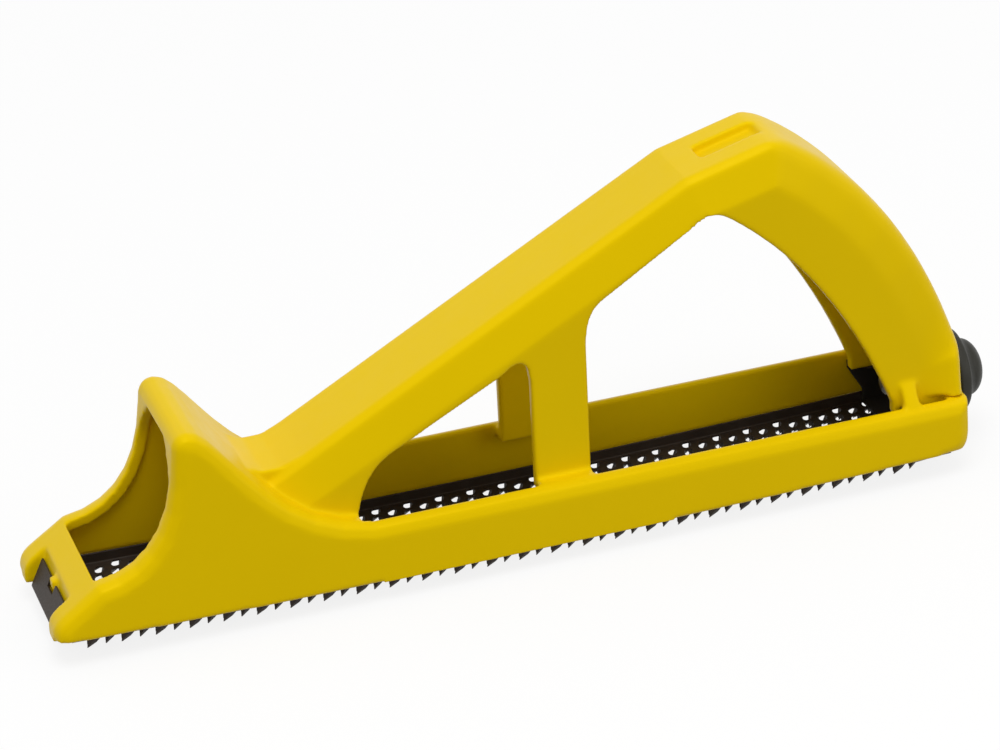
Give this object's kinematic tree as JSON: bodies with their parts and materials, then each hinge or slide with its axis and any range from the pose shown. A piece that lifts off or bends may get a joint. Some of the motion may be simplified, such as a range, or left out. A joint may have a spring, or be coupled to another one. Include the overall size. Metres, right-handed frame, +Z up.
{
  "type": "bench plane",
  "caption": "Bench plane with a moulded plastic body, a horn and loop handle, and a toothed perforated steel blade drawn tight by a knob at the heel.",
  "frame": {"origin": "middle of the part's bounding box in X and Y, at the height of the lowest tooth tips", "axes": "+X from the nose with the horn to the heel with the knob, +Y to the side away from the camera, +Z up from the blade to the handle"},
  "size_m": [0.2522, 0.044, 0.0981],
  "materials": {
    "yellow_plastic": "satin",
    "dark_steel": "satin",
    "plain_steel": "satin",
    "black_plastic": "satin"
  },
  "bodies": {
    "body": {"body_moulding": "yellow_plastic", "blade": "dark_steel", "thrust_washer": "plain_steel"},
    "knob": {"knob": "black_plastic", "tension_screw": "plain_steel", "retaining_clip": "plain_steel"},
    "clamp": {"tension_clamp": "dark_steel", "clamp_nut": "plain_steel"}
  },
  "joints": [
    {"name": "knob_turn", "type": "hinge", "parent": "body", "child": "knob", "pos_m": [0.12, 0, 0.019], "axis": [1, 0, 0], "range_deg": [0, 1800]},
    {"name": "clamp_slide", "type": "slide", "parent": "body", "child": "clamp", "axis": [-1, 0, 0], "range_m": [0, 0.005]}
  ],
  "couplings": [
    {"joint": "clamp_slide", "follows": "knob_turn", "m_per_rad": 0.00015915}
  ]
}
